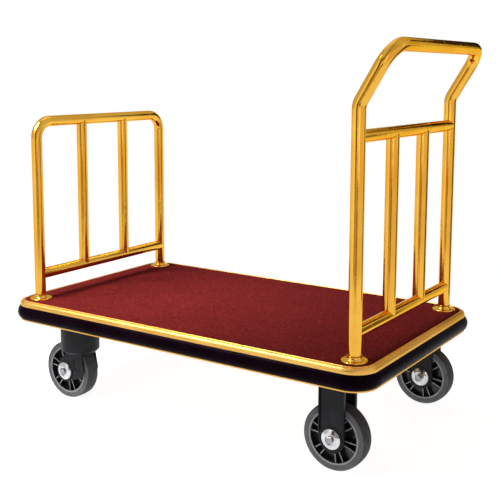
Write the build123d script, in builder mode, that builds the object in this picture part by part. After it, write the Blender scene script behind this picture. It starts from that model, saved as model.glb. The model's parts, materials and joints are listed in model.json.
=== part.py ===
"""Hotel luggage cart: a carpeted platform on four casters, with a tubular rail at one end
and a taller push handle at the other.

Frame: +X points from the rail end to the handle end, +Y is the far long side, +Z is up.
The origin is on the floor, under the middle of the cart's bounding box. Millimetres.
"""
from build123d import *
import os
from math import cos, radians, sin

# ---------------------------------------------------------------- driving dimensions
# fits
running_clearance = 0.06
fit_clearance = 0.05
press_gap = 0.02             # left between pieces that are pressed or clamped together
weld_gap = 0.02              # root gap between a coped tube end and the tube it meets
bolt_hole_clearance = 0.25
overlap = 1.0                # how far a raised detail or a cutter reaches past the face it meets

# platform
post_span_x = 938.0          # rail posts to handle posts
post_span_y = 500.0          # front posts to back posts
carpet_top = 252.0           # height of the walking surface above the floor
carpet_thickness = 6.0
board_thickness = 18.0
edge_margin = 42.0           # post centre to the edge of the board
board_corner_radius = 45.0
carpet_gap = 0.4             # carpet edge to edge trim
trim_web = 2.0
trim_nose_reach = 12.0       # how far the gold nosing stands out from the board
trim_nose_depth = 12.0
trim_nose_wall = 2.0
trim_nose_drop = 1.0         # the nosing lies this far below the carpet
trim_bead_radius = 1.8
trim_lip_reach = 11.5
trim_lip_height = 3.0
trim_bottom = 200.0
bumper_reach = 20.0          # board edge to the outermost point of the bumper
beam_height = 25.0
beam_wall = 2.0
beam_end_gap = 0.2           # cross beams to side beams
side_beam_width = 60.0
side_beam_offset = 8.0       # side beams stand a little outside the posts
side_beam_overhang = 14.0    # past the posts, inside the rounded corners of the trim
end_beam_width = 40.0
caster_beam_width = 130.0

# end frames
rail_tube_radius = 14.0
rail_height = 472.0          # top tube centre above the carpet
rail_bend_radius = 45.0
rail_crossbar_height = 66.0
handle_tube_radius = 15.0
handle_bend_height = 538.0   # where the posts start to lean outwards
handle_top_height = 659.0
handle_lean = 73.0           # how far the grip tube stands beyond the posts
handle_bend_radius = 35.0
handle_corner_radius = 50.0
handle_crossbar_radius = 14.0
handle_upper_crossbar_height = 472.0
handle_lower_crossbar_height = 60.0
tube_wall = 1.5
spindle_y = post_span_y / 6  # the spindles divide each frame into three equal windows

# post feet
flange_radius = 29.0
flange_rim_height = 9.0
flange_lip_wall = 1.2        # thickness of the flare's top lip
flange_flare_width = 4.6
flange_flare_height = 10.0
flange_edge_round = 2.5
flange_screw_count = 4
flange_screw_circle = 24.3
flange_screw_radius = 1.5
flange_screw_head_radius = 2.5
flange_screw_length = 22.0
flange_screw_point = 3.0
screw_slot_length = 3.2
screw_slot_width = 0.8
screw_slot_depth = 0.9
plug_length = 40.0
post_bolt_radius = 5.0
post_bolt_hex_radius = 9.8
post_bolt_head_height = 6.4
post_bolt_end_gap = 6.0      # bolt end to the top of its plug
post_washer_radius = 11.0
post_washer_thickness = 2.0

# casters
wheel_radius = 75.0
tyre_half_width = 19.0
tyre_inner_radius = 61.0
caster_y = 240.0             # wheel centre line from the middle of the cart
swivel_x_from_post = 132.0   # swivel axis inboard of the rail posts
fixed_x_from_post = 43.0     # fixed axle inboard of the handle posts
swivel_trail = 30.0          # the axle trails the swivel axis by this
plate_length = 110.0
plate_width = 96.0
plate_thickness = 5.0
plate_corner_radius = 10.0
plate_hole_x = 44.0
plate_hole_y = 38.0
fixed_plate_shift = 24.0     # the fixed plates sit inboard of their axles, clear of the post bolts
caster_bolt_radius = 4.0
caster_bolt_hex_radius = 7.5
caster_bolt_head_height = 5.3
caster_bolt_standout = 10.0  # past the lower wall of its beam
caster_nut_height = 6.5
leg_inner = 23.5             # fork leg faces, from the wheel's middle plane
leg_outer = 27.5
boss_face = 29.0
boss_radius = 27.0
hub_half_width = 21.5
hub_radius = 23.0
spoke_count = 6
axle_radius = 6.0
axle_hex_radius = 8.6
axle_head_height = 5.5
axle_nut_height = 6.5
axle_standout = 10.0         # past the outer face of the second cap
bush_seat_radius = 10.0
bush_inner_end = 7.0         # from the wheel's middle plane
bush_collar_radius = 12.5
bush_collar_width = 1.2
cap_radius = 22.5
cap_edge = 1.2
cap_seat = 3.4               # boss face to the axle's head or nut
swivel_head_radius = 50.0
swivel_head_wall = 4.0
swivel_head_gap = 3.5        # between the fork's head and the top plate
crown_bottom = 155.0
crown_top = 163.0
skirt_bottom = 128.0         # the head's skirt comes down beside the wheel
skirt_bottom_radius = 42.0
wheel_well_clearance = 4.5
kingpin_hex_radius = 10.5
kingpin_head_height = 5.0
kingpin_gap = 0.4            # kingpin head to the fork
race_gap = 0.4               # ball to the upper race
race_outer = 42.0
race_inner = 25.0
lower_race_top = 180.0
upper_race_bottom = 184.0
ball_radius = 4.0
ball_circle_radius = 34.0
ball_count = 20

# ---------------------------------------------------------------- worked-out positions
board_half_x = post_span_x / 2 + edge_margin
board_half_y = post_span_y / 2 + edge_margin
board_top = carpet_top - carpet_thickness
board_bottom = board_top - board_thickness
beam_bottom = board_bottom - beam_height
deck_reach = board_half_x + bumper_reach
handle_reach = post_span_x / 2 + handle_lean + handle_tube_radius
deck_x = (deck_reach - handle_reach) / 2
rail_x = deck_x - post_span_x / 2
handle_x = deck_x + post_span_x / 2
post_y = post_span_y / 2
plate_bottom = beam_bottom - plate_thickness
ball_height = (lower_race_top + upper_race_bottom) / 2
swivel_x = rail_x + swivel_x_from_post
fixed_x = handle_x - fixed_x_from_post
fixed_plate_x = fixed_x - fixed_plate_shift
feet = [
    (rail_x, -post_y, rail_tube_radius),
    (rail_x, post_y, rail_tube_radius),
    (handle_x, -post_y, handle_tube_radius),
    (handle_x, post_y, handle_tube_radius),
]
plate_places = [(x, y) for x in (swivel_x, fixed_plate_x) for y in (-caster_y, caster_y)]

os.makedirs("parts", exist_ok=True)


def save(piece, name):
    """Label a finished piece and write it."""
    piece.label = name
    export_step(piece, f"parts/{name}.step")


def save_pair(front_piece, name):
    """Write a piece of the front side and its mirror image on the back side."""
    save(front_piece, f"{name}_front")
    save(mirror(front_piece, about=Plane.XZ), f"{name}_back")


def level(height):
    """Horizontal plane through the middle of the deck at a height above the floor."""
    return Plane.XY.offset(height).move(Location((deck_x, 0, 0)))


# ---------------------------------------------------------------- deck
with BuildPart() as deck_board:
    with BuildSketch(level(board_bottom)):
        RectangleRounded(2 * board_half_x, 2 * board_half_y, board_corner_radius)
        with GridLocations(post_span_x, post_span_y, 2, 2):
            Circle(post_bolt_radius + bolt_hole_clearance, mode=Mode.SUBTRACT)
    extrude(amount=board_thickness)
    with BuildSketch(level(board_top)):
        with GridLocations(post_span_x, post_span_y, 2, 2):
            with PolarLocations(flange_screw_circle, flange_screw_count):
                Circle(flange_screw_radius + fit_clearance)
    extrude(amount=-(flange_screw_length - flange_rim_height + overlap), mode=Mode.SUBTRACT)
save(deck_board.part, "deck_board")

with BuildPart() as carpet:
    with BuildSketch(level(board_top)):
        RectangleRounded(
            2 * (board_half_x - carpet_gap),
            2 * (board_half_y - carpet_gap),
            board_corner_radius - carpet_gap,
        )
        with GridLocations(post_span_x, post_span_y, 2, 2):
            Circle(flange_radius + carpet_gap, mode=Mode.SUBTRACT)
    extrude(amount=carpet_thickness)
save(carpet.part, "carpet")


def trim_section():
    """Edge trim: a grooved nosing with a bead at the carpet, a web, and a lip under the bumper."""
    bead = 2 * trim_bead_radius
    nose_top = carpet_top - trim_nose_drop
    nose_bottom = carpet_top - trim_nose_depth - trim_nose_wall
    nose_edge = nose_bottom + trim_nose_wall + 1.0
    nose_bulge = (trim_nose_reach - 0.9, nose_top - 4.4)
    lip_top = trim_bottom + trim_lip_height
    groove_inner = (bead + 4.0, nose_top - 0.9)
    groove_floor = (bead + 4.7, nose_top - 1.9)
    groove_outer = (bead + 5.4, nose_top - 1.7)
    with BuildSketch() as section:
        with BuildLine():
            Polyline(
                (0, nose_top),
                (0, trim_bottom),
                (trim_lip_reach, trim_bottom),
                (trim_lip_reach, lip_top),
                (trim_lip_reach - trim_web, lip_top),
                (trim_lip_reach - trim_web, trim_bottom + trim_web),
                (trim_web, trim_bottom + trim_web),
                (trim_web, nose_bottom),
                (trim_nose_reach, nose_bottom),
                (trim_nose_reach, nose_edge),
            )
            ThreePointArc((trim_nose_reach, nose_edge), nose_bulge, groove_outer)
            Polyline(groove_outer, groove_floor, groove_inner, (bead, nose_top))
            ThreePointArc(
                (bead, nose_top), (trim_bead_radius, nose_top + trim_bead_radius), (0, nose_top)
            )
        make_face()
    return section.sketch


def bumper_section():
    """D-shaped rubber bumper that fills the channel and bulges past the trim."""
    slack = 0.3
    top = carpet_top - trim_nose_depth - trim_nose_wall - slack
    bottom = trim_bottom + trim_web + slack
    lip_top = trim_bottom + trim_lip_height + slack
    lip_inner = trim_lip_reach - trim_web - slack
    back = trim_web + slack
    lip_outer = trim_lip_reach + 0.5
    with BuildSketch() as section:
        with BuildLine():
            Polyline(
                (trim_nose_reach, top),
                (back, top),
                (back, bottom),
                (lip_inner, bottom),
                (lip_inner, lip_top),
                (lip_outer, lip_top),
            )
            ThreePointArc(
                (lip_outer, lip_top),
                (bumper_reach, (top + lip_top) / 2),
                (trim_nose_reach, top),
            )
        make_face()
    return section.sketch


def edging(section):
    """Run a section round the rounded board: straight lengths along the sides, turned corners."""
    straight_x = 2 * (board_half_x - board_corner_radius)
    straight_y = 2 * (board_half_y - board_corner_radius)
    sides_in_order = [(straight_y, board_half_x), (straight_x, board_half_y)] * 2
    with BuildPart() as ring:
        for quarter, (along, across) in enumerate(sides_in_order):
            outward = Vector(1, 0, 0).rotate(Axis.Z, 90 * quarter)
            tangent = Vector(0, 1, 0).rotate(Axis.Z, 90 * quarter)
            start = Vector(deck_x, 0, 0) + outward * across - tangent * (along / 2)
            with BuildSketch(Plane(origin=start, x_dir=outward, z_dir=-tangent)):
                add(section)
            extrude(amount=-along)
            end = start + tangent * along
            corner_centre = end - outward * board_corner_radius
            with BuildSketch(Plane(origin=end, x_dir=outward, z_dir=-tangent)):
                add(section)
            revolve(axis=Axis(corner_centre, (0, 0, 1)), revolution_arc=90)
    return ring.part


save(edging(trim_section()), "edge_trim")
save(edging(bumper_section()), "bumper")


def beam(centre, length_x, length_y, bolt_holes, through):
    """Rectangular tube under the board; its bolt holes pierce the lower wall, or both walls."""
    with BuildPart() as tube:
        with BuildSketch(Plane.XY.offset(beam_bottom).move(Location(centre))):
            Rectangle(length_x, length_y)
        extrude(amount=beam_height)
        along = Axis.X if length_x > length_y else Axis.Y
        ends = tube.faces().filter_by(along)
        offset(amount=-beam_wall, openings=ends)
        if bolt_holes:
            with BuildSketch(Plane.XY.offset(beam_bottom)):
                with Locations(*bolt_holes):
                    Circle(caster_bolt_radius + bolt_hole_clearance)
            extrude(amount=beam_wall, mode=Mode.SUBTRACT)
        if through:
            with BuildSketch(Plane.XY.offset(beam_bottom)):
                with Locations(*through):
                    Circle(post_bolt_radius + bolt_hole_clearance)
            extrude(amount=beam_height, mode=Mode.SUBTRACT)
    return tube.part


caster_holes = [
    (x + dx, y + dy)
    for x, y in plate_places
    for dx in (-plate_hole_x, plate_hole_x)
    for dy in (-plate_hole_y, plate_hole_y)
]
side_beam_y = post_y + side_beam_offset
side_beam_inner = side_beam_y - side_beam_width / 2
side_beam_length = post_span_x + 2 * side_beam_overhang
outer_holes = [(x, y) for x, y in caster_holes if y < -side_beam_inner]
front_post_holes = [(rail_x, -post_y), (handle_x, -post_y)]
side_beam_centre = (deck_x, -side_beam_y, 0)
side_beam = beam(side_beam_centre, side_beam_length, side_beam_width, outer_holes, front_post_holes)
save_pair(side_beam, "side_beam")

cross_length = 2 * (side_beam_inner - beam_end_gap)
cross_beams = {
    "end_beam": (rail_x - side_beam_overhang + end_beam_width / 2, end_beam_width),
    "swivel_beam": (swivel_x, caster_beam_width),
    "middle_beam": (deck_x, end_beam_width),
    "fixed_beam": (fixed_plate_x, caster_beam_width),
}
for beam_name, (beam_x, width) in cross_beams.items():
    inner_holes = [
        (x, y) for x, y in caster_holes if abs(x - beam_x) < width / 2 and abs(y) < side_beam_inner
    ]
    save(beam((beam_x, 0, 0), width, cross_length, inner_holes, []), beam_name)


# ---------------------------------------------------------------- end frames
def bent_tube(points, bend_radii, radius):
    """A tube bent round the corners of a path that starts and ends on the board."""
    with BuildPart() as tube:
        with BuildLine() as path:
            FilletPolyline(*points, radius=bend_radii)
        with BuildSketch(Plane(origin=points[0], z_dir=(0, 0, 1))):
            Circle(radius)
            Circle(radius - tube_wall, mode=Mode.SUBTRACT)
        sweep(path=path.line)
    return tube.part


def straight_tube(start, end, radius):
    """A plain tube between two points."""
    direction = Vector(end) - Vector(start)
    with BuildPart() as tube:
        with BuildSketch(Plane(origin=start, z_dir=direction)):
            Circle(radius)
            Circle(radius - tube_wall, mode=Mode.SUBTRACT)
        extrude(amount=direction.length)
    return tube.part


def crossbar(x, height, radius, post_radius):
    """A level tube between two posts, with its ends coped to fit them."""
    z = carpet_top + height
    with BuildPart() as bar:
        add(straight_tube((x, -post_y, z), (x, post_y, z), radius))
        with BuildSketch(Plane((x, 0, z - 2 * post_radius))):
            with GridLocations(0, post_span_y, 1, 2):
                Circle(post_radius + weld_gap)
        extrude(amount=4 * post_radius, mode=Mode.SUBTRACT)
    return bar.part


def spindle(x, y, low, high, radius, bar_radius):
    """An upright tube between two level tubes, with its ends coped to fit them."""
    z_low = carpet_top + low
    z_high = carpet_top + high
    inset = bar_radius / 4
    with BuildPart() as post:
        add(straight_tube((x, y, z_low + inset), (x, y, z_high - inset), radius))
        for z in (z_low, z_high):
            with BuildSketch(Plane(origin=(x, y - 2 * radius, z), x_dir=(1, 0, 0), z_dir=(0, 1, 0))):
                Circle(bar_radius + weld_gap)
            extrude(amount=4 * radius, mode=Mode.SUBTRACT)
    return post.part


rail_top = carpet_top + rail_height
rail_hoop = bent_tube(
    [
        (rail_x, -post_y, board_top),
        (rail_x, -post_y, rail_top),
        (rail_x, post_y, rail_top),
        (rail_x, post_y, board_top),
    ],
    rail_bend_radius,
    rail_tube_radius,
)
save(rail_hoop, "rail_hoop")
save(crossbar(rail_x, rail_crossbar_height, rail_tube_radius, rail_tube_radius), "rail_crossbar")

grip_x = handle_x + handle_lean
bend_z = carpet_top + handle_bend_height
grip_z = carpet_top + handle_top_height
handle_hoop = bent_tube(
    [
        (handle_x, -post_y, board_top),
        (handle_x, -post_y, bend_z),
        (grip_x, -post_y, grip_z),
        (grip_x, post_y, grip_z),
        (handle_x, post_y, bend_z),
        (handle_x, post_y, board_top),
    ],
    [handle_bend_radius, handle_corner_radius, handle_corner_radius, handle_bend_radius],
    handle_tube_radius,
)
save(handle_hoop, "handle_hoop")
for level_name, height in {
    "upper": handle_upper_crossbar_height,
    "lower": handle_lower_crossbar_height,
}.items():
    handle_bar = crossbar(handle_x, height, handle_crossbar_radius, handle_tube_radius)
    save(handle_bar, f"handle_{level_name}_crossbar")

rail_spindle = spindle(
    rail_x,
    -spindle_y,
    rail_crossbar_height,
    rail_height,
    rail_tube_radius,
    rail_tube_radius,
)
save_pair(rail_spindle, "rail_spindle")
handle_spindle = spindle(
    handle_x,
    -spindle_y,
    handle_lower_crossbar_height,
    handle_upper_crossbar_height,
    handle_tube_radius,
    handle_crossbar_radius,
)
save_pair(handle_spindle, "handle_spindle")


# ---------------------------------------------------------------- post feet
def flange(x, y, post_radius):
    """Cast foot plate: a rounded disc that flares up round the post, with four countersunk screws."""
    bore = post_radius + fit_clearance
    lip = bore + flange_lip_wall
    flare = lip + flange_flare_width
    rim = board_top + flange_rim_height
    top = rim + flange_flare_height
    shoulder = rim - flange_edge_round
    face_edge = flange_radius - flange_edge_round
    bulge = 0.3 * flange_edge_round
    with BuildPart() as foot:
        with BuildSketch(Plane(origin=(x, y, 0), x_dir=(1, 0, 0), z_dir=(0, -1, 0))):
            with BuildLine():
                Polyline((bore, board_top), (flange_radius, board_top), (flange_radius, shoulder))
                ThreePointArc(
                    (flange_radius, shoulder), (flange_radius - bulge, rim - bulge), (face_edge, rim)
                )
                Line((face_edge, rim), (flare, rim))
                ThreePointArc(
                    (flare, rim),
                    (lip + flange_flare_width / 4, rim + flange_flare_height / 4),
                    (lip, top),
                )
                Polyline((lip, top), (bore, top), (bore, board_top))
            make_face()
        revolve(axis=Axis((x, y, 0), (0, 0, 1)))
        with Locations(Plane((x, y, rim))):
            with PolarLocations(flange_screw_circle, flange_screw_count):
                CounterSinkHole(
                    flange_screw_radius + fit_clearance,
                    flange_screw_head_radius + fit_clearance,
                    depth=flange_rim_height,
                    counter_sink_angle=90,
                )
    return foot.part


save_pair(flange(rail_x, -post_y, rail_tube_radius), "rail_flange")
save_pair(flange(handle_x, -post_y, handle_tube_radius), "handle_flange")

with BuildPart() as flange_screws:
    for x, y, _ in feet:
        for step in range(flange_screw_count):
            turn = radians(360 * step / flange_screw_count)
            screw_x = x + flange_screw_circle * cos(turn)
            screw_y = y + flange_screw_circle * sin(turn)
            rim = board_top + flange_rim_height
            head_depth = flange_screw_head_radius - flange_screw_radius
            with BuildSketch(Plane(origin=(screw_x, screw_y, 0), x_dir=(1, 0, 0), z_dir=(0, -1, 0))):
                with BuildLine():
                    Polyline(
                        (0, rim),
                        (flange_screw_head_radius, rim),
                        (flange_screw_radius, rim - head_depth),
                        (flange_screw_radius, rim - flange_screw_length + flange_screw_point),
                        (0, rim - flange_screw_length),
                        close=True,
                    )
                make_face()
            revolve(axis=Axis((screw_x, screw_y, 0), (0, 0, 1)))
            with BuildSketch(Plane((screw_x, screw_y, rim))):
                Rectangle(screw_slot_length, screw_slot_width)
                Rectangle(screw_slot_width, screw_slot_length)
            extrude(amount=-screw_slot_depth, mode=Mode.SUBTRACT)
save(flange_screws.part, "flange_screws")

with BuildPart() as post_plugs:
    for x, y, post_radius in feet:
        with BuildSketch(Plane((x, y, board_top))):
            Circle(post_radius - tube_wall - fit_clearance)
            Circle(post_bolt_radius + fit_clearance, mode=Mode.SUBTRACT)
        extrude(amount=plug_length)
save(post_plugs.part, "post_plugs")

washer_bottom = beam_bottom - post_washer_thickness
with BuildPart() as post_bolts:
    for x, y, _ in feet:
        with BuildSketch(Plane((x, y, washer_bottom))):
            Circle(post_bolt_radius)
        extrude(amount=board_top + plug_length - post_bolt_end_gap - washer_bottom)
        with BuildSketch(Plane((x, y, washer_bottom - post_bolt_head_height))):
            RegularPolygon(post_bolt_hex_radius, 6)
        extrude(amount=post_bolt_head_height)
save(post_bolts.part, "post_bolts")

with BuildPart() as post_washers:
    for x, y, _ in feet:
        with BuildSketch(Plane((x, y, washer_bottom))):
            Circle(post_washer_radius)
            Circle(post_bolt_radius + bolt_hole_clearance, mode=Mode.SUBTRACT)
        extrude(amount=post_washer_thickness)
save(post_washers.part, "post_washers")

# ---------------------------------------------------------------- caster fasteners
nut_bottom = beam_bottom + beam_wall
with BuildPart() as caster_bolts:
    with BuildSketch(Plane.XY.offset(plate_bottom)):
        with Locations(*caster_holes):
            Circle(caster_bolt_radius)
    extrude(amount=nut_bottom + caster_bolt_standout - plate_bottom)
    with BuildSketch(Plane.XY.offset(plate_bottom - caster_bolt_head_height)):
        with Locations(*caster_holes):
            RegularPolygon(caster_bolt_hex_radius, 6)
    extrude(amount=caster_bolt_head_height)
save(caster_bolts.part, "caster_bolts")

with BuildPart() as caster_nuts:
    with BuildSketch(Plane.XY.offset(nut_bottom)):
        with Locations(*caster_holes):
            RegularPolygon(caster_bolt_hex_radius, 6)
        with Locations(*caster_holes):
            Circle(caster_bolt_radius + fit_clearance, mode=Mode.SUBTRACT)
    extrude(amount=caster_nut_height)
save(caster_nuts.part, "caster_nuts")


# ---------------------------------------------------------------- wheels and axles
def section_plane(centre):
    """Upright plane through an axle: local x runs along the axle, local y is the height."""
    return Plane(origin=centre, x_dir=(0, 1, 0), z_dir=(1, 0, 0))


def side_plane(centre, offset_y):
    """Plane parallel to a wheel's face: local x is +X, local y is +Z, and it faces -Y."""
    origin = Vector(centre) + Vector(0, offset_y, 0)
    return Plane(origin=origin, x_dir=(1, 0, 0), z_dir=(0, -1, 0))


def wheel_core(centre):
    """Moulded wheel: a tapered rim, a thin web, a hub and hollow spokes, each a pair of ribs."""
    rim_inner = tyre_inner_radius - 6.0
    rim_edge = rim_inner + 1.5
    rim_root = rim_inner - 0.5
    rim_half = tyre_half_width - 0.5
    web_half = 3.0
    hub_root = hub_radius + 1.0
    rib_depth = tyre_half_width - 3.0
    rib_width = 2.4
    rib_length = rim_inner - hub_radius + 3.0
    rib_half_angle = 9.5
    first_spoke = 45.0
    axis = Axis(centre, (0, 1, 0))
    with BuildPart() as core:
        with BuildSketch(section_plane(centre)):
            with BuildLine():
                Polyline(
                    (-rim_half, tyre_inner_radius),
                    (-rim_half, rim_edge),
                    (-web_half, rim_root),
                    (-web_half, hub_root),
                    (-hub_half_width, hub_radius),
                    (-hub_half_width, bush_seat_radius),
                    (hub_half_width, bush_seat_radius),
                    (hub_half_width, hub_radius),
                    (web_half, hub_root),
                    (web_half, rim_root),
                    (rim_half, rim_edge),
                    (rim_half, tyre_inner_radius),
                    close=True,
                )
            make_face()
        revolve(axis=axis)
        with BuildSketch(side_plane(centre, rib_depth)):
            for spoke in range(spoke_count):
                for lean in (-rib_half_angle, rib_half_angle):
                    turn = first_spoke + 360 / spoke_count * spoke + lean
                    middle = (hub_radius + rim_inner) / 2
                    place = (middle * cos(radians(turn)), middle * sin(radians(turn)))
                    with Locations(Location((*place, 0), turn)):
                        Rectangle(rib_length, rib_width)
        extrude(amount=2 * rib_depth)
    return core.part


def tyre(centre):
    """Solid rubber tyre with a slightly crowned tread and rounded shoulders."""
    inner = tyre_inner_radius + press_gap
    inner_face = tyre_half_width - 0.9
    side_foot = inner + 1.2
    shoulder = wheel_radius - 5.0
    round_half = tyre_half_width - 1.1
    round_radius = shoulder + 2.8
    tread_half = tyre_half_width - 4.0
    tread_edge = wheel_radius - 1.0
    with BuildPart() as ring:
        with BuildSketch(section_plane(centre)):
            with BuildLine():
                Polyline(
                    (-tyre_half_width, shoulder),
                    (-tyre_half_width, side_foot),
                    (-inner_face, inner),
                    (inner_face, inner),
                    (tyre_half_width, side_foot),
                    (tyre_half_width, shoulder),
                )
                ThreePointArc(
                    (tyre_half_width, shoulder), (round_half, round_radius), (tread_half, tread_edge)
                )
                ThreePointArc((tread_half, tread_edge), (0, wheel_radius), (-tread_half, tread_edge))
                ThreePointArc(
                    (-tread_half, tread_edge), (-round_half, round_radius), (-tyre_half_width, shoulder)
                )
            make_face()
        revolve(axis=Axis(centre, (0, 1, 0)))
    return ring.part


def hub_bushes(centre):
    """Two flanged bushes pressed into the hub, one from each side."""
    bore = axle_radius + running_clearance
    body = bush_seat_radius - press_gap
    with BuildPart() as bushes:
        for side in (-1, 1):
            inner_end = side * bush_inner_end
            collar_inner = side * (hub_half_width + press_gap)
            collar_outer = side * (hub_half_width + bush_collar_width)
            with BuildSketch(section_plane(centre)):
                with BuildLine():
                    Polyline(
                        (inner_end, bore),
                        (collar_outer, bore),
                        (collar_outer, bush_collar_radius),
                        (collar_inner, bush_collar_radius),
                        (collar_inner, body),
                        (inner_end, body),
                        close=True,
                    )
                make_face()
            revolve(axis=Axis(centre, (0, 1, 0)))
    return bushes.part


def axle(centre):
    """Axle bolt with a hexagon head on the outer side and a nut on the other."""
    head_face = boss_face + cap_seat
    head_chamfer = 0.8
    with BuildPart() as bolt:
        with BuildSketch(side_plane(centre, -head_face)):
            Circle(axle_radius)
        extrude(amount=-(2 * head_face + axle_standout))
        with BuildSketch(side_plane(centre, -head_face)):
            RegularPolygon(axle_hex_radius, 6)
        extrude(amount=axle_head_height)
        chamfer(bolt.faces().sort_by(Axis.Y)[0].edges(), length=head_chamfer)
        with BuildSketch(side_plane(centre, head_face + press_gap)):
            RegularPolygon(axle_hex_radius, 6)
            Circle(axle_radius + fit_clearance, mode=Mode.SUBTRACT)
        extrude(amount=-axle_nut_height)
    return bolt.part


def axle_caps(centre):
    """Two bright domed washers under the axle's head and nut."""
    bore = axle_radius + fit_clearance
    seat = cap_seat - 2 * press_gap
    dome_side = (4.2, cap_radius - 5.0)
    dome_top = (5.8, 13.0)
    dish_edge = (5.4, 11.2)
    dish_floor = (seat, 10.6)
    with BuildPart() as caps:
        for side in (-1, 1):
            inner = side * (boss_face + press_gap)
            profile = [(0, bore), (0, cap_radius), (cap_edge, cap_radius), dome_side, dome_top]
            profile += [dish_edge, dish_floor, (seat, bore), (0, bore)]
            points = [(inner + side * out, radius) for out, radius in profile]
            with BuildSketch(section_plane(centre)):
                with BuildLine():
                    Polyline(*points[:3])
                    ThreePointArc(*points[2:5])
                    Polyline(*points[4:])
                make_face()
            revolve(axis=Axis(centre, (0, 1, 0)))
    return caps.part


# ---------------------------------------------------------------- forks and plates
def leg_boss(centre, side):
    """Raised ring round the axle hole on the outer face of a fork leg."""
    with BuildPart() as boss:
        with BuildSketch(side_plane(centre, side * boss_face)):
            Circle(boss_radius)
        extrude(amount=side * (boss_face - leg_inner))
    return boss.part


def mounting_plate(x, y):
    """Rectangular top plate with four bolt holes and rounded corners."""
    with BuildPart() as plate:
        with BuildSketch(Plane((x, y, plate_bottom))):
            RectangleRounded(plate_length, plate_width, plate_corner_radius)
            with GridLocations(2 * plate_hole_x, 2 * plate_hole_y, 2, 2):
                Circle(caster_bolt_radius + bolt_hole_clearance, mode=Mode.SUBTRACT)
        extrude(amount=plate_thickness)
    return plate.part


def fixed_fork(x, y):
    """Rigid fork: a pressed U of plate with stiffened edges, welded under its mounting plate."""
    centre = (x, y, wheel_radius)
    half = 31.0
    bend = 10.0
    wall = leg_outer - leg_inner
    rise = plate_bottom - wheel_radius
    stiffener_width = 3.0
    stiffener_stand = 3.5
    stiffener_foot = 12.0
    stiffener_top = rise - bend
    with BuildPart() as fork:
        add(mounting_plate(x - fixed_plate_shift, y))
        with BuildSketch(section_plane((x - half, y, wheel_radius))):
            with BuildLine():
                FilletPolyline(
                    (-leg_outer, 0), (-leg_outer, rise), (leg_outer, rise), (leg_outer, 0), radius=bend
                )
                FilletPolyline(
                    (-leg_inner, 0),
                    (-leg_inner, rise - wall),
                    (leg_inner, rise - wall),
                    (leg_inner, 0),
                    radius=bend - wall,
                )
                Line((-leg_outer, 0), (-leg_inner, 0))
                Line((leg_outer, 0), (leg_inner, 0))
            make_face()
        extrude(amount=2 * half)
        for side in (-1, 1):
            with BuildSketch(side_plane(centre, side * leg_outer)):
                Circle(half)
            extrude(amount=side * wall)
            for edge in (-1, 1):
                place = (edge * (half - stiffener_width / 2), (stiffener_top + stiffener_foot) / 2)
                with BuildSketch(side_plane(centre, side * (leg_outer + stiffener_stand))):
                    with Locations(place):
                        Rectangle(stiffener_width, stiffener_top - stiffener_foot)
                extrude(amount=side * (stiffener_stand + overlap))
            add(leg_boss(centre, side))
        with BuildSketch(side_plane(centre, -boss_face - overlap)):
            Circle(axle_radius + fit_clearance)
        extrude(amount=-2 * (boss_face + overlap), mode=Mode.SUBTRACT)
    return fork.part


def swivel_plate(x, y):
    """Top plate of a swivel caster, with the pressed upper ball race under it."""
    with BuildPart() as plate:
        add(mounting_plate(x, y))
        with BuildSketch(Plane((x, y, plate_bottom))):
            Circle(axle_radius + fit_clearance)
        extrude(amount=plate_thickness, mode=Mode.SUBTRACT)
        with BuildSketch(Plane((x, y, upper_race_bottom))):
            Circle(race_outer)
            Circle(race_inner, mode=Mode.SUBTRACT)
        extrude(amount=plate_bottom - upper_race_bottom)
        with BuildSketch(section_plane((x, y, ball_height))):
            with Locations((ball_circle_radius, 0)):
                Circle(ball_radius + race_gap)
        revolve(axis=Axis((x, y, 0), (0, 0, 1)), mode=Mode.SUBTRACT)
    return plate.part


def swivel_leg(centre, side):
    """Raked fork leg: narrow at the hub boss and wide under the head, with a rib and a sunk panel."""
    crown_rise = crown_top - wheel_radius
    skirt_rise = skirt_bottom - wheel_radius
    wall = leg_outer - leg_inner
    corner_radius = 4.0
    rib_stand = 1.5
    panel_depth = 1.2
    outline = [
        (-25, 12),
        (-10, 32),
        (2, 42),
        (2, crown_rise),
        (62, crown_rise),
        (57, skirt_rise),
        (66, 8),
        (60, -9),
        (28, -20),
    ]
    rib = [(-15, 24), (6, 39), (40, 54), (42, 58), (4, 44), (-18, 28)]
    panel = [(28, 32), (33, 9), (59, 4), (57, 42), (46, 44)]
    with BuildPart() as leg:
        with BuildSketch(side_plane(centre, side * leg_outer)):
            Circle(boss_radius + overlap)
            with BuildLine():
                FilletPolyline(*outline, radius=corner_radius, close=True)
            make_face()
        extrude(amount=side * wall)
        with BuildSketch(side_plane(centre, side * (leg_outer + rib_stand))):
            with BuildLine():
                Polyline(*rib, close=True)
            make_face()
        extrude(amount=side * (rib_stand + overlap))
        with BuildSketch(side_plane(centre, side * leg_outer)):
            with BuildLine():
                FilletPolyline(*panel, radius=corner_radius, close=True)
            make_face()
        extrude(amount=side * panel_depth, mode=Mode.SUBTRACT)
        add(leg_boss(centre, side))
    return leg.part


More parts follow.
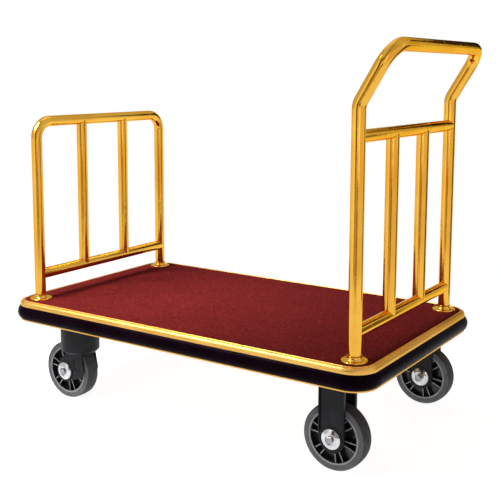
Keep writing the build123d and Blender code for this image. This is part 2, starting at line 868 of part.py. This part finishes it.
def swivel_fork(x, y):
    """Swivel fork: a round head with a bevelled skirt beside the wheel, and two legs to the axle."""
    centre = (x - swivel_trail, y, wheel_radius)
    pin_bore = axle_radius + running_clearance
    head_inner = swivel_head_radius - swivel_head_wall
    head_top = plate_bottom - swivel_head_gap
    bevel = swivel_head_radius - skirt_bottom_radius
    with BuildPart() as fork:
        with BuildSketch(section_plane((x, y, 0))):
            with BuildLine():
                Polyline(
                    (pin_bore, crown_bottom),
                    (head_inner, crown_bottom),
                    (head_inner, skirt_bottom + bevel),
                    (head_inner - bevel, skirt_bottom),
                    (skirt_bottom_radius, skirt_bottom),
                    (swivel_head_radius, skirt_bottom + bevel),
                    (swivel_head_radius, head_top),
                    (head_inner, head_top),
                    (head_inner, crown_top),
                    (race_outer, crown_top),
                    (race_outer, lower_race_top),
                    (race_inner, lower_race_top),
                    (race_inner, crown_top),
                    (pin_bore, crown_top),
                    close=True,
                )
            make_face()
        revolve(axis=Axis((x, y, 0), (0, 0, 1)))
        with BuildSketch(section_plane((x, y, ball_height))):
            with Locations((ball_circle_radius, 0)):
                Circle(ball_radius + press_gap)
        revolve(axis=Axis((x, y, 0), (0, 0, 1)), mode=Mode.SUBTRACT)
        with BuildSketch(side_plane(centre, -leg_inner)):
            Circle(wheel_radius + wheel_well_clearance)
        extrude(amount=-2 * leg_inner, mode=Mode.SUBTRACT)
        for side in (-1, 1):
            add(swivel_leg(centre, side))
        with BuildSketch(side_plane(centre, -boss_face - overlap)):
            Circle(axle_radius + fit_clearance)
        extrude(amount=-2 * (boss_face + overlap), mode=Mode.SUBTRACT)
    return fork.part


def swivel_balls(x, y):
    """Ring of bearing balls between the two races."""
    with BuildPart() as balls:
        with Locations((x, y, ball_height)):
            with PolarLocations(ball_circle_radius, ball_count):
                Sphere(ball_radius)
    return balls.part


def kingpin(x, y):
    """Pin riveted into the top plate; its hexagon head carries the fork."""
    head_top = crown_bottom - kingpin_gap
    with BuildPart() as pin:
        with BuildSketch(Plane((x, y, head_top))):
            Circle(axle_radius)
        extrude(amount=beam_bottom - head_top)
        with BuildSketch(Plane((x, y, head_top - kingpin_head_height))):
            RegularPolygon(kingpin_hex_radius, 6)
        extrude(amount=kingpin_head_height)
    return pin.part


save_pair(fixed_fork(fixed_x, -caster_y), "fixed_fork")
save_pair(swivel_plate(swivel_x, -caster_y), "swivel_plate")
save_pair(kingpin(swivel_x, -caster_y), "kingpin")
save_pair(swivel_fork(swivel_x, -caster_y), "swivel_fork")
save_pair(swivel_balls(swivel_x, -caster_y), "swivel_balls")
for kind, axle_x in {"fixed": fixed_x, "swivel": swivel_x - swivel_trail}.items():
    hub = (axle_x, -caster_y, wheel_radius)
    save_pair(axle(hub), f"{kind}_axle")
    save_pair(axle_caps(hub), f"{kind}_caps")
    save_pair(wheel_core(hub), f"{kind}_wheel")
    save_pair(tyre(hub), f"{kind}_tyre")
    save_pair(hub_bushes(hub), f"{kind}_bushes")
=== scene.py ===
import json
import math

import bmesh
import bpy
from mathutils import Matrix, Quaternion, Vector, noise


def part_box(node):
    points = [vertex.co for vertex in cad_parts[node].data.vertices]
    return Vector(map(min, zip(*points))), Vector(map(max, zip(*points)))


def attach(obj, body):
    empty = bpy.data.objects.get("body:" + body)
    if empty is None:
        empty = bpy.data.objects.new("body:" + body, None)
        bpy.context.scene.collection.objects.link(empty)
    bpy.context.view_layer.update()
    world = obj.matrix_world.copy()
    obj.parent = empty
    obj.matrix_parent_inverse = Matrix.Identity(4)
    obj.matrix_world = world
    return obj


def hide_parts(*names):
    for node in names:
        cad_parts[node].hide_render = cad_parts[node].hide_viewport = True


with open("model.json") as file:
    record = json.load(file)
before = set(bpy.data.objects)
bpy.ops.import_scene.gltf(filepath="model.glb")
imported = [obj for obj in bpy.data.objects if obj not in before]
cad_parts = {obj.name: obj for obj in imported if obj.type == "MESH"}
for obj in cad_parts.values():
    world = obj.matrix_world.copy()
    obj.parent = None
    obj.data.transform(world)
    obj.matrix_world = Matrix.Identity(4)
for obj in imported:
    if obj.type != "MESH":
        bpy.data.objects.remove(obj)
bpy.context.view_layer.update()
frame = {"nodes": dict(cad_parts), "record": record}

nodes = frame["nodes"]
SIDES = ("front", "back")

# ---------------------------------------------------------------- camera
CAMERA_AZIMUTH = math.radians(33.5)
CAMERA_ELEVATION = math.radians(7.4)
CAMERA_ROLL = math.radians(0.2)
CAMERA_PLACE = Vector((1.2817, -1.8855, 0.852))
CAMERA_LENS = 64.2
CAMERA_SHIFT = (-0.0055, -0.1226)


def make_camera():
    """The photograph's viewpoint: a little above the deck, seen from the near corner of the handle end."""
    data = bpy.data.cameras.new("camera")
    data.lens = CAMERA_LENS
    data.sensor_width = 36.0
    data.shift_x, data.shift_y = CAMERA_SHIFT
    camera = bpy.data.objects.new("camera", data)
    bpy.context.scene.collection.objects.link(camera)
    camera.location = CAMERA_PLACE
    back = Vector(
        (
            math.sin(CAMERA_AZIMUTH) * math.cos(CAMERA_ELEVATION),
            -math.cos(CAMERA_AZIMUTH) * math.cos(CAMERA_ELEVATION),
            math.sin(CAMERA_ELEVATION),
        )
    )
    turn = (-back).to_track_quat("-Z", "Y")
    camera.rotation_mode = "QUATERNION"
    camera.rotation_quaternion = turn @ Quaternion((0, 0, 1), CAMERA_ROLL)
    bpy.context.scene.camera = camera


# ---------------------------------------------------------------- materials
class Surface:
    """A material being built: the principled shader and the nodes that feed it.

    Constants name other sockets of the shader, with underscores for spaces.
    """

    def __init__(self, name, roughness, metallic=0.0, **constants):
        self.material = bpy.data.materials.new(name)
        self.material.use_nodes = True
        self.tree = self.material.node_tree
        self.shader = self.tree.nodes["Principled BSDF"]
        self.shader.inputs["Roughness"].default_value = roughness
        self.shader.inputs["Metallic"].default_value = metallic
        for socket, value in constants.items():
            self.shader.inputs[socket.replace("_", " ")].default_value = value
        self.place = self.node("ShaderNodeTexCoord").outputs["Object"]

    def node(self, kind, **values):
        made = self.tree.nodes.new(kind)
        for name, value in values.items():
            setattr(made, name, value)
        return made

    def link(self, output, target):
        self.tree.links.new(output, target)

    def feed(self, target, value):
        """Give a socket a constant or a link."""
        if isinstance(value, bpy.types.NodeSocket):
            self.link(value, target)
        else:
            target.default_value = value

    def scaled(self, scale):
        """Object coordinates stretched by a scale for each axis."""
        mapping = self.node("ShaderNodeMapping")
        mapping.inputs["Scale"].default_value = scale
        self.link(self.place, mapping.inputs["Vector"])
        return mapping.outputs["Vector"]

    def noise(self, scale, detail=3.0, place=None, distortion=0.0):
        made = self.node("ShaderNodeTexNoise")
        made.inputs["Scale"].default_value = scale
        made.inputs["Detail"].default_value = detail
        made.inputs["Distortion"].default_value = distortion
        self.link(place or self.place, made.inputs["Vector"])
        return made.outputs["Fac"]

    def cells(self, scale, output="Distance"):
        made = self.node("ShaderNodeTexVoronoi")
        made.inputs["Scale"].default_value = scale
        self.link(self.place, made.inputs["Vector"])
        return made.outputs[output]

    def remap(self, value, start, end, low=0.0, high=1.0):
        """Spread a value from start..end to low..high, clamped."""
        made = self.node("ShaderNodeMapRange")
        for name, number in (("From Min", start), ("From Max", end), ("To Min", low), ("To Max", high)):
            made.inputs[name].default_value = number
        self.link(value, made.inputs["Value"])
        return made.outputs["Result"]

    def math(self, operation, a, b=0.0):
        made = self.node("ShaderNodeMath", operation=operation)
        self.feed(made.inputs[0], a)
        self.feed(made.inputs[1], b)
        return made.outputs["Value"]

    def mix(self, factor, a, b):
        """Colour between a and b; each is a colour or a link."""
        made = self.node("ShaderNodeMix", data_type="RGBA")
        self.feed(made.inputs["Factor"], factor)
        self.feed(made.inputs["A"], a)
        self.feed(made.inputs["B"], b)
        return made.outputs["Result"]

    def color(self, value):
        self.feed(self.shader.inputs["Base Color"], value)

    def roughness(self, value):
        self.link(value, self.shader.inputs["Roughness"])

    def bump(self, height, strength, depth):
        """Add a bump layer on top of any before it."""
        made = self.node("ShaderNodeBump")
        made.inputs["Strength"].default_value = strength
        made.inputs["Distance"].default_value = depth
        self.link(height, made.inputs["Height"])
        before = self.shader.inputs["Normal"].links
        if before:
            self.link(before[0].from_socket, made.inputs["Normal"])
        self.link(made.outputs["Normal"], self.shader.inputs["Normal"])

    def face_share(self, axis):
        """How squarely a surface faces along an axis, from 0 to 1."""
        split = self.node("ShaderNodeSeparateXYZ")
        coords = self.node("ShaderNodeTexCoord")
        self.link(coords.outputs["Normal"], split.inputs["Vector"])
        return self.math("ABSOLUTE", split.outputs[axis])

    def distance_from(self, axis, place):
        """Distance from a plane across an axis."""
        split = self.node("ShaderNodeSeparateXYZ")
        self.link(self.place, split.inputs["Vector"])
        return self.math("ABSOLUTE", self.math("SUBTRACT", split.outputs[axis], place))


GOLD_DEEP = (0.84, 0.43, 0.052)
GOLD_BRIGHT = (0.94, 0.53, 0.078)
GOLD_EDGE = (1.0, 0.74, 0.38, 1)  # keeps the gold from whitening where it is seen at a low angle
RAISED_FROM = 0.0145  # the wheels' rim and ribs stand further than this from the middle plane
RAISED_FULLY = 0.0155


def polished_gold(name, deep, bright, streak_scale):
    """Gold-coated tube: mirror polish with soft smudges, faint streaks and a slight drift of tint."""
    gold = Surface(name, 0.14, 1.0, Specular_Tint=GOLD_EDGE)
    gold.color(gold.mix(gold.remap(gold.noise(7, 2), 0.35, 0.65), (*deep, 1), (*bright, 1)))
    smudge = gold.remap(gold.noise(38, 4, distortion=0.6), 0.42, 0.72, 0.09, 0.2)
    streak = gold.noise(1, 3, place=gold.scaled(streak_scale))
    gold.roughness(gold.math("ADD", smudge, gold.remap(streak, 0.4, 0.8, 0.0, 0.07)))
    gold.bump(streak, 0.04, 0.0002)
    gold.bump(gold.noise(5, 1), 0.06, 0.003)
    return gold.material


def anodised_gold():
    """Extruded edge trim: satin gold with fine lines along its length and small scuffs."""
    gold = Surface("anodised_gold", 0.28, 1.0, Specular_Tint=GOLD_EDGE)
    lines = gold.noise(1, 4, place=gold.scaled((5, 5, 2600)))
    scuffs = gold.remap(gold.noise(120, 6, distortion=1.2), 0.62, 0.74)
    drift = gold.remap(gold.noise(9, 2), 0.3, 0.7)
    base = gold.mix(drift, (0.76, 0.41, 0.085, 1), (0.88, 0.53, 0.14, 1))
    gold.color(gold.mix(scuffs, base, (0.62, 0.42, 0.20, 1)))
    satin = gold.remap(lines, 0.3, 0.7, 0.33, 0.43)
    gold.roughness(gold.math("ADD", satin, gold.math("MULTIPLY", scuffs, 0.15)))
    gold.bump(lines, 0.05, 0.0002)
    return gold.material


def carpet_pile_material():
    """Dark red cut pile: tufts with painted shade between them, flecks of lighter and darker yarn, and
    broad patches painted lighter and darker as the sheen of nap lying different ways.
    """
    pile = Surface(
        "carpet_pile",
        0.95,
        Sheen_Weight=0.04,
        Sheen_Roughness=0.5,
        Sheen_Tint=(0.8, 0.2, 0.2, 1),
        Specular_IOR_Level=0.04,
    )
    # painted sheen: broad patches lighter and darker, standing in for light caught by nap that lies
    # different ways
    painted_nap_sheen = pile.remap(pile.noise(11, 3, distortion=0.8), 0.35, 0.65)
    yarn = pile.cells(520, "Color")
    split = pile.node("ShaderNodeSeparateColor")
    pile.link(yarn, split.inputs["Color"])
    tuft = pile.cells(420)
    ground = pile.mix(painted_nap_sheen, (0.215, 0.014, 0.013, 1), (0.280, 0.020, 0.018, 1))
    trodden = pile.remap(pile.noise(75, 3, distortion=0.4), 0.35, 0.7, 0.0, 0.42)
    ground = pile.mix(trodden, ground, (0.105, 0.008, 0.008, 1))
    flecked = pile.mix(pile.remap(split.outputs["Red"], 0.55, 1.0), ground, (0.42, 0.052, 0.044, 1))
    # painted shade: the pile darkens towards the crevices between tufts, where the bump sinks
    deep = pile.remap(tuft, 0.25, 0.75, 0.0, 0.75)
    pile.color(pile.mix(deep, flecked, (0.070, 0.005, 0.006, 1)))
    pile.bump(pile.noise(900, 3), 0.35, 0.0008)
    pile.bump(pile.remap(tuft, 0.0, 0.7, 1.0, 0.0), 0.7, 0.0016)
    return pile.material


def bumper_rubber():
    """Satin black vinyl with a hint of purple, fine extrusion lines and a few dull scuff marks."""
    rubber = Surface("bumper_vinyl", 0.3, IOR=1.08, Specular_Tint=(0.85, 0.5, 0.65, 1))
    scuffs = rubber.remap(rubber.noise(46, 6, distortion=1.5), 0.66, 0.78, 0.0, 0.6)
    patches = rubber.remap(rubber.noise(14, 2), 0.35, 0.65)
    tone = rubber.mix(patches, (0.0030, 0.0005, 0.0020, 1), (0.0065, 0.0018, 0.0055, 1))
    rubber.color(rubber.mix(scuffs, tone, (0.020, 0.014, 0.020, 1)))
    sheen = rubber.remap(rubber.noise(90, 4), 0.3, 0.7, 0.24, 0.38)
    rubber.roughness(rubber.math("ADD", sheen, rubber.math("MULTIPLY", scuffs, 0.3)))
    rubber.bump(rubber.noise(1, 3, place=rubber.scaled((4, 4, 1400))), 0.08, 0.0004)
    return rubber.material


def tyre_rubber():
    """Grey rubber: plain sidewalls and a running face painted darker as shade."""
    rubber = Surface("tyre_rubber", 0.7, Specular_IOR_Level=0.25)
    mottle = rubber.remap(rubber.noise(60, 5), 0.3, 0.7)
    wall = rubber.mix(mottle, (0.100, 0.100, 0.108, 1), (0.148, 0.148, 0.158, 1))
    # painted shade: the running face is coloured darker than the sidewalls, standing in for the shade it
    # falls in
    painted_shade_tread = rubber.mix(mottle, (0.030, 0.030, 0.033, 1), (0.058, 0.057, 0.060, 1))
    side = rubber.remap(rubber.face_share("Y"), 0.55, 0.9)
    rubber.color(rubber.mix(side, painted_shade_tread, wall))
    rubber.roughness(rubber.remap(rubber.noise(150, 4), 0.3, 0.7, 0.6, 0.85))
    rubber.bump(rubber.noise(700, 4), 0.25, 0.0005)
    return rubber.material


def moulded_wheel(kind, side):
    """Black moulding whose raised, squarely facing faces are painted light grey as a highlight."""
    low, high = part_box(f"{kind}_wheel_{side}")
    middle = (low.y + high.y) / 2
    plastic = Surface(f"moulded_{kind}_{side}", 0.3)
    raised = plastic.remap(plastic.distance_from("Y", middle), RAISED_FROM, RAISED_FULLY)
    square = plastic.remap(plastic.face_share("Y"), 0.8, 0.95)
    # painted highlight: raised faces that face squarely sideways turn light grey, unevenly; the pockets
    # keep the plain black
    raised_face_painted_highlight = plastic.math("MULTIPLY", raised, square)
    uneven_painted_highlight = plastic.math("MULTIPLY", raised_face_painted_highlight, plastic.remap(plastic.noise(170, 4), 0.25, 0.6, 0.55, 1.0))
    black = plastic.mix(plastic.noise(40, 3), (0.008, 0.008, 0.009, 1), (0.016, 0.016, 0.018, 1))
    plastic.color(plastic.mix(uneven_painted_highlight, black, (0.30, 0.30, 0.315, 1)))
    plastic.roughness(plastic.remap(plastic.noise(90, 4), 0.3, 0.7, 0.16, 0.32))
    plastic.bump(plastic.noise(800, 3), 0.06, 0.0003)
    return plastic.material


def painted_steel(name, low, high, roughness):
    """Black paint over pressed steel, with the slight ripple of a sprayed finish and dusty patches."""
    paint = Surface(name, roughness, Specular_IOR_Level=0.18)
    dust = paint.remap(paint.noise(30, 5, distortion=0.7), 0.45, 0.75)
    paint.color(paint.mix(dust, (*low, 1), (*high, 1)))
    paint.roughness(paint.remap(paint.noise(70, 4), 0.3, 0.7, roughness - 0.08, roughness + 0.12))
    paint.bump(paint.noise(420, 3), 0.12, 0.0006)
    return paint.material


def bright_metal(name, tone, smooth, rough, grain):
    """Bare or plated metal with soft smudges and a fine grain."""
    metal = Surface(name, rough, 1.0)
    darker = tuple(0.8 * c for c in tone)
    metal.color(metal.mix(metal.remap(metal.noise(grain / 6, 3), 0.35, 0.65), (*darker, 1), (*tone, 1)))
    metal.roughness(metal.remap(metal.noise(grain / 3, 4, distortion=0.5), 0.35, 0.7, smooth, rough))
    metal.bump(metal.noise(grain, 3), 0.05, 0.0002)
    return metal.material


def plywood():
    """Bare plywood: long grain lines and a few darker streaks."""
    wood = Surface("plywood", 0.6)
    grain = wood.noise(1, 5, place=wood.scaled((6, 110, 110)), distortion=0.4)
    figure = wood.noise(1, 3, place=wood.scaled((2, 16, 16)), distortion=1.0)
    tone = wood.mix(wood.remap(grain, 0.3, 0.7), (0.30, 0.17, 0.08, 1), (0.50, 0.33, 0.18, 1))
    wood.color(wood.mix(wood.remap(figure, 0.55, 0.75, 0.0, 0.5), tone, (0.22, 0.11, 0.05, 1)))
    wood.roughness(wood.remap(grain, 0.3, 0.7, 0.5, 0.72))
    wood.bump(grain, 0.2, 0.0005)
    return wood.material


def acetal():
    """Off-white bearing plastic."""
    plastic = Surface("acetal", 0.4)
    plastic.color(plastic.mix(plastic.noise(120, 3), (0.42, 0.40, 0.35, 1), (0.55, 0.53, 0.48, 1)))
    plastic.bump(plastic.noise(900, 2), 0.08, 0.0002)
    return plastic.material


def paint_nodes():
    """Give each CAD node but the carpet the finish of its material slot."""
    upright = polished_gold("polished_gold_upright", GOLD_DEEP, GOLD_BRIGHT, (260, 260, 4))
    level = polished_gold("polished_gold_level", GOLD_DEEP, GOLD_BRIGHT, (260, 4, 260))
    bolt_steel = bright_metal("bolt_steel", (0.36, 0.36, 0.38), 0.18, 0.32, 300)
    beam_black = ((0.018, 0.018, 0.019), (0.035, 0.034, 0.033))
    fork_black = ((0.007, 0.008, 0.010), (0.015, 0.016, 0.020))
    finishes = {
        "board": plywood(),
        "gold_fitting": polished_gold("cast_gold", (0.84, 0.45, 0.07), (0.93, 0.54, 0.11), (90, 90, 90)),
        "gold_trim": anodised_gold(),
        "bumper": bumper_rubber(),
        "frame_paint": painted_steel("frame_powder_coat", *beam_black, 0.5),
        "fork_paint": painted_steel("fork_paint", *fork_black, 0.4),
        "zinc": bright_metal("zinc_plate", (0.62, 0.62, 0.60), 0.28, 0.45, 300),
        "chrome": bright_metal("chrome_plate", (0.70, 0.70, 0.73), 0.06, 0.14, 240),
        "tyre": tyre_rubber(),
        "bush": acetal(),
    }
    for subpart in frame["record"]["subparts"]:
        name = subpart["node"]
        slot = subpart["material_slot"]
        if slot == "gold_tube":
            finish = level if "crossbar" in name else upright
        elif slot == "wheel_core":
            kind, _, side = name.split("_")
            finish = moulded_wheel(kind, side)
        elif "axle" in name:
            finish = bolt_steel
        elif slot == "carpet":
            continue
        else:
            finish = finishes[slot]
        mesh = nodes[name].data
        mesh.materials.clear()
        mesh.materials.append(finish)


# ---------------------------------------------------------------- carpet
PILE_STEP = 0.0034  # spacing of the sheet's mesh
PILE_CORNER = 0.0446  # corner radius of the cut
PILE_GAP = 0.0004  # round the post feet
PILE_LUMP = 0.0004  # height of the unevenness
LUMP_SCALES = ((160, 1.0), (410, 0.6))
PILE_RISE = 0.0004  # the pile stands this far above the CAD carpet
PILE_FOOT = 0.0003  # the edge ends this far above the board
ROLL_DROP = 0.0016  # how far the cut edge rolls down
ROLL_REACH = 0.0022
EDGE_SNAP = 0.45  # in steps: points this near the cut are moved onto it
EDGE_REACH = 0.9  # in steps: points further outside the cut are left out


def make_carpet():
    """Cut-pile carpet: rounded corners, a hole round each post foot and a soft rolled edge."""
    low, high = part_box("carpet")
    middle = (low + high) / 2
    half = (high - low) / 2
    holes = []
    for end in ("rail", "handle"):
        for side in SIDES:
            a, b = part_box(f"{end}_flange_{side}")
            holes.append((((a + b) / 2).xy, (b.x - a.x) / 2 + PILE_GAP))

    def inside(point):
        """How far a point is inside the carpet's outline, and the direction that leads further in."""
        flat = Vector((point.x - middle.x, point.y - middle.y))
        over = Vector((abs(flat.x) - half.x + PILE_CORNER, abs(flat.y) - half.y + PILE_CORNER))
        sign = Vector((math.copysign(1, flat.x), math.copysign(1, flat.y)))
        if over.x > 0 and over.y > 0:
            depth = PILE_CORNER - over.length
            inward = -Vector((over.x * sign.x, over.y * sign.y)).normalized()
        elif over.x > over.y:
            depth = PILE_CORNER - over.x
            inward = Vector((-sign.x, 0))
        else:
            depth = PILE_CORNER - over.y
            inward = Vector((0, -sign.y))
        for centre, radius in holes:
            away = Vector((point.x, point.y)) - centre
            if away.length - radius < depth:
                depth = away.length - radius
                inward = away.normalized()
        return depth, inward

    columns = round(2 * half.x / PILE_STEP)
    rows = round(2 * half.y / PILE_STEP)
    mesh = bmesh.new()
    grid = {}
    for i in range(columns + 1):
        for j in range(rows + 1):
            point = Vector((low.x + 2 * half.x * i / columns, low.y + 2 * half.y * j / rows, high.z))
            depth, inward = inside(point)
            if depth < EDGE_SNAP * PILE_STEP:
                if depth < -EDGE_REACH * PILE_STEP:
                    continue
                point.xy -= inward * depth
                depth = 0.0
            lump = PILE_LUMP * sum(share * noise.noise(point * scale) for scale, share in LUMP_SCALES)
            roll = ROLL_DROP * math.exp(-depth / ROLL_REACH)
            point.z += lump - roll + PILE_RISE
            grid[i, j] = mesh.verts.new(point)
    for i in range(columns):
        for j in range(rows):
            ring = [grid.get(key) for key in ((i, j), (i + 1, j), (i + 1, j + 1), (i, j + 1))]
            ring = [v for v in ring if v]
            if len(ring) >= 3:
                mesh.faces.new(ring)
    edge = [e for e in mesh.edges if len(e.link_faces) == 1]
    skirt = bmesh.ops.extrude_edge_only(mesh, edges=edge)["geom"]
    for vert in [g for g in skirt if isinstance(g, bmesh.types.BMVert)]:
        vert.co.z = low.z + PILE_FOOT
    bmesh.ops.delete(mesh, geom=[v for v in mesh.verts if not v.link_faces], context="VERTS")
    bmesh.ops.recalc_face_normals(mesh, faces=mesh.faces)
    for face in mesh.faces:
        face.smooth = True
    data = bpy.data.meshes.new("carpet_pile")
    mesh.to_mesh(data)
    mesh.free()
    data.materials.append(carpet_pile_material())
    carpet = bpy.data.objects.new("carpet_pile", data)
    bpy.context.scene.collection.objects.link(carpet)
    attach(carpet, "platform")
    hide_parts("carpet")


# ---------------------------------------------------------------- stage and light
def stage_mesh(name, mesh, surface):
    """Put a piece of the studio in the scene."""
    data = bpy.data.meshes.new(name)
    mesh.to_mesh(data)
    mesh.free()
    data.materials.append(surface.material)
    thing = bpy.data.objects.new(name, data)
    bpy.context.scene.collection.objects.link(thing)
    return thing


FLOOR_GLOW = 0.90  # light that the floor gives to the cart
FLOOR_SEEN = 0.92  # light that it shows to the camera
FLOOR_HALF = 60
SCREEN_STEPS = 12


def make_floor():
    """A wide, plain white floor that glows softly, like a lit light table."""
    mesh = bmesh.new()
    bmesh.ops.create_grid(mesh, x_segments=2, y_segments=2, size=FLOOR_HALF)
    paper = Surface("floor_paper", 0.8, Specular_IOR_Level=0.0, Emission_Color=(1, 1, 1, 1))
    paper.color(paper.mix(paper.noise(3, 2), (0.52, 0.52, 0.52, 1), (0.56, 0.56, 0.56, 1)))
    seen = paper.node("ShaderNodeLightPath").outputs["Is Camera Ray"]
    paper.link(paper.remap(seen, 0, 1, FLOOR_GLOW, FLOOR_SEEN), paper.shader.inputs["Emission Strength"])
    stage_mesh("floor", mesh, paper)


def make_screen(name, start, end, distance, low, high, tone):
    """A curved, evenly lit studio screen between two bearings round the cart, seen only in reflections."""
    mesh = bmesh.new()
    rows = []
    for step in range(SCREEN_STEPS + 1):
        bearing = math.radians(start + (end - start) * step / SCREEN_STEPS)
        foot = Vector((math.cos(bearing), math.sin(bearing), 0)) * distance
        rows.append([mesh.verts.new(foot + Vector((0, 0, z))) for z in (low, high)])
    for (a, b), (c, d) in zip(rows, rows[1:]):
        mesh.faces.new((a, c, d, b))
    cloth = Surface(name, 0.9, Specular_IOR_Level=0.0, Emission_Strength=1.0)
    cloth.color((0, 0, 0, 1))
    darker = tuple(0.8 * c for c in tone)
    glow = cloth.mix(cloth.noise(5, 2), (*darker, 1), (*tone, 1))
    cloth.link(glow, cloth.shader.inputs["Emission Color"])
    screen = stage_mesh(name, mesh, cloth)
    screen.visible_camera = False
    screen.visible_diffuse = False
    screen.visible_shadow = False


def softbox(name, place, aim, size, power, spread=180):
    """A rectangular area light that points at a spot; a narrow spread fades towards its edges."""
    data = bpy.data.lights.new(name, "AREA")
    data.shape = "RECTANGLE"
    data.size, data.size_y = size
    data.energy = power
    data.spread = math.radians(spread)
    lamp = bpy.data.objects.new(name, data)
    bpy.context.scene.collection.objects.link(lamp)
    lamp.location = place
    lamp.rotation_mode = "QUATERNION"
    lamp.rotation_quaternion = (Vector(aim) - Vector(place)).to_track_quat("-Z", "Y")
    lamp.visible_camera = False


# name, first and last bearing in degrees, distance, lower and upper edge in metres, tone
SCREENS = (
    ("left_strip", -120, -98, 2.05, 0.0, 1.7, (1.25, 1.2, 1.1)),
    ("left_flag", -96, -60, 2.05, 0.0, 0.45, (0.50, 0.43, 0.34)),
    ("left_boom", -93, -74, 2.05, 0.45, 1.7, (0.10, 0.08, 0.065)),
    ("front_flag", -60, -47, 2.05, 0.0, 0.45, (0.27, 0.21, 0.15)),
    ("front_strip", -49, -38, 2.05, 0.45, 1.3, (1.8, 1.5, 1.25)),
    ("warm_card", -48, 20, 2.4, 0.0, 1.7, (0.92, 0.80, 0.68)),
    ("low_flag", 21, 48, 1.7, 0.0, 0.8, (0.16, 0.12, 0.09)),
    ("back_boom", 60, 96, 2.3, 0.95, 1.90, (0.02, 0.014, 0.01)),
)
SKY_FILL = 0.12  # how much of the sky reaches dull surfaces
# place round the horizon, from 0 to 1, and how bright reflections show the sky there
SKY = ((0.0, 0.64), (0.22, 0.80), (0.29, 0.30), (0.35, 0.45), (0.58, 0.70), (0.75, 0.60), (1.0, 0.64))


def make_light():
    """Soft studio light: a sky that differs round the horizon, three softboxes and the screens."""
    world = bpy.data.worlds.new("studio")
    bpy.context.scene.world = world
    world.use_nodes = True
    tree = world.node_tree
    background = tree.nodes["Background"]
    coords = tree.nodes.new("ShaderNodeTexCoord")
    around = tree.nodes.new("ShaderNodeTexGradient")
    around.gradient_type = "RADIAL"
    tree.links.new(coords.outputs["Generated"], around.inputs["Vector"])
    ramp = tree.nodes.new("ShaderNodeValToRGB")
    tree.links.new(around.outputs["Fac"], ramp.inputs["Fac"])
    elements = ramp.color_ramp.elements
    elements[0].position, elements[1].position = SKY[0][0], SKY[-1][0]
    for position, _ in SKY[1:-1]:
        elements.new(position)
    for element, (_, level) in zip(elements, SKY):
        element.color = (level, level, level, 1)
    path = tree.nodes.new("ShaderNodeLightPath")
    tone = ramp.outputs["Color"]
    for ray, level in (("Is Diffuse Ray", SKY_FILL), ("Is Camera Ray", 1.0)):
        mix = tree.nodes.new("ShaderNodeMix")
        mix.data_type = "RGBA"
        tree.links.new(path.outputs[ray], mix.inputs["Factor"])
        tree.links.new(tone, mix.inputs["A"])
        mix.inputs["B"].default_value = (level, level, level, 1)
        tone = mix.outputs["Result"]
    tree.links.new(tone, background.inputs["Color"])
    softbox("key", (-0.75, -0.85, 1.55), (-0.2, 0, 0.25), (0.7, 0.7), 4.7, 54)
    softbox("top", (-0.6, 0.5, 2.6), (-0.5, 0, 0.2), (1.4, 1.4), 3)
    softbox("side", (2.4, 0.9, 1.1), (0.3, 0, 0.5), (0.8, 1.4), 1.2)
    for screen in SCREENS:
        make_screen(*screen)
    bpy.context.scene.view_settings.view_transform = "Standard"


make_camera()
paint_nodes()
make_carpet()
make_floor()
make_light()
